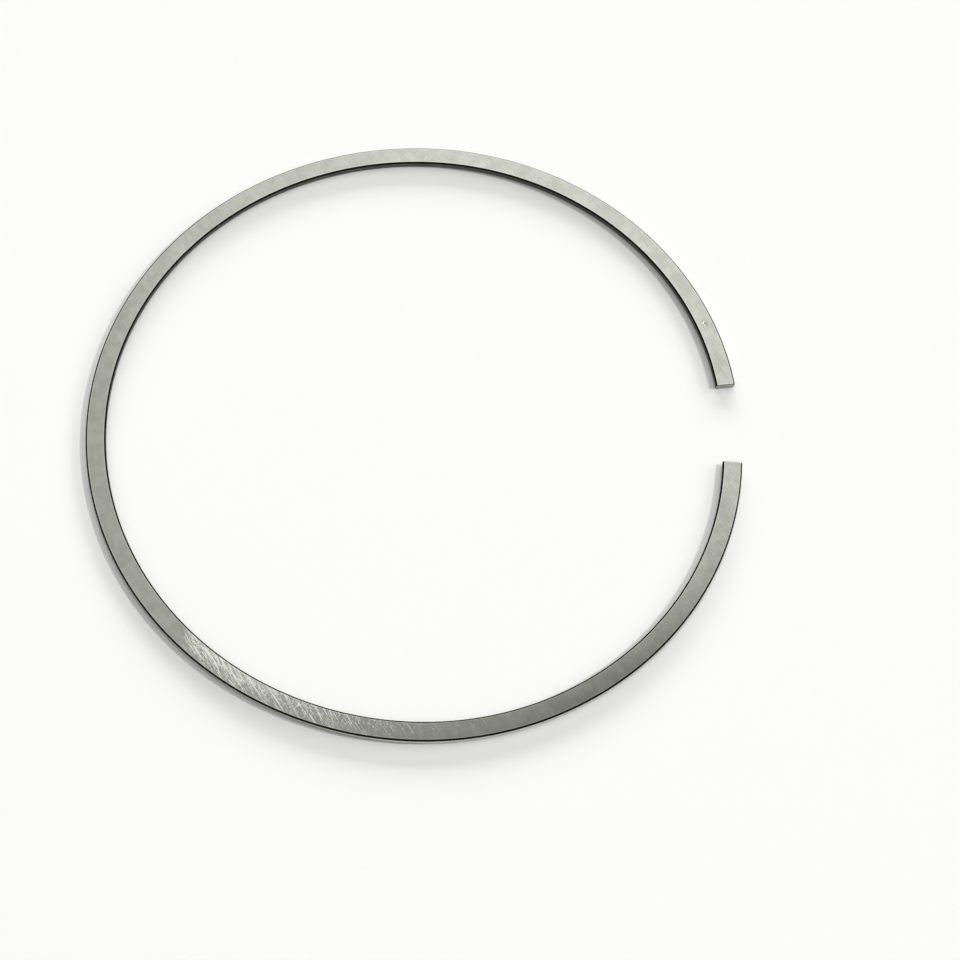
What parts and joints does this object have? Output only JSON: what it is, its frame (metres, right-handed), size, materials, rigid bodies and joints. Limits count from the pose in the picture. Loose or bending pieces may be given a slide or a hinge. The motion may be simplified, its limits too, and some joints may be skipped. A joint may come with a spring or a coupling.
{
  "type": "piston ring",
  "caption": "Split steel compression ring for an engine piston, sprung open at a plain butt gap, with flat ground sides, bevelled edges and a barrel-shaped running face.",
  "frame": {"origin": "centre of the free ring's box, on its lower side face", "axes": "+Z along the ring's axis, up; +X from the back of the ring towards the gap between its ends; +Y across that gap"},
  "size_m": [0.0862, 0.0882, 0.001],
  "materials": {
    "ring_steel": "satin ground side faces, darker walls and bevels"
  },
  "bodies": {
    "root": {"piston_ring": "ring_steel"}
  },
  "joints": []
}
